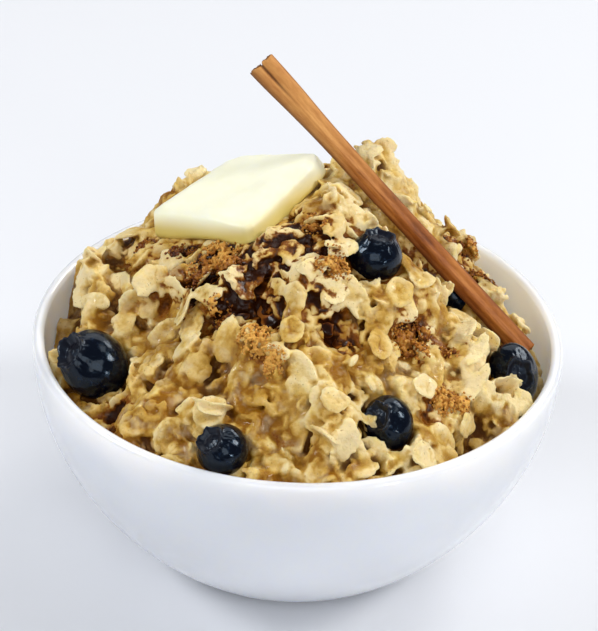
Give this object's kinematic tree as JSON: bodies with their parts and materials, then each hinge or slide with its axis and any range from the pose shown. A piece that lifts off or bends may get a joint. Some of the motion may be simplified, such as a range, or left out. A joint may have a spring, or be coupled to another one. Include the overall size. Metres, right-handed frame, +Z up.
{
  "type": "bowl of porridge",
  "caption": "Round white bowl heaped high with oat porridge, brown sugar, butter, blueberries and a cinnamon stick.",
  "frame": {"origin": "middle of the bowl's foot, at the level it stands on", "axes": "+Z up out of the bowl; -Y the front, where the heap slopes down to the rim; +X right, where the cinnamon stick's lower end is"},
  "size_m": [0.14, 0.14, 0.1252],
  "materials": {
    "white_glaze": "gloss",
    "porridge": "moist",
    "butter": "satin",
    "cinnamon_bark": "matte",
    "blueberry_skin": "wet gloss"
  },
  "bodies": {
    "root": {"bowl": "white_glaze", "porridge_heap": "porridge", "butter_pat": "butter", "cinnamon_stick": "cinnamon_bark", "blueberry_1": "blueberry_skin", "blueberry_2": "blueberry_skin", "blueberry_3": "blueberry_skin", "blueberry_4": "blueberry_skin", "blueberry_5": "blueberry_skin", "blueberry_6": "blueberry_skin"}
  },
  "joints": []
}
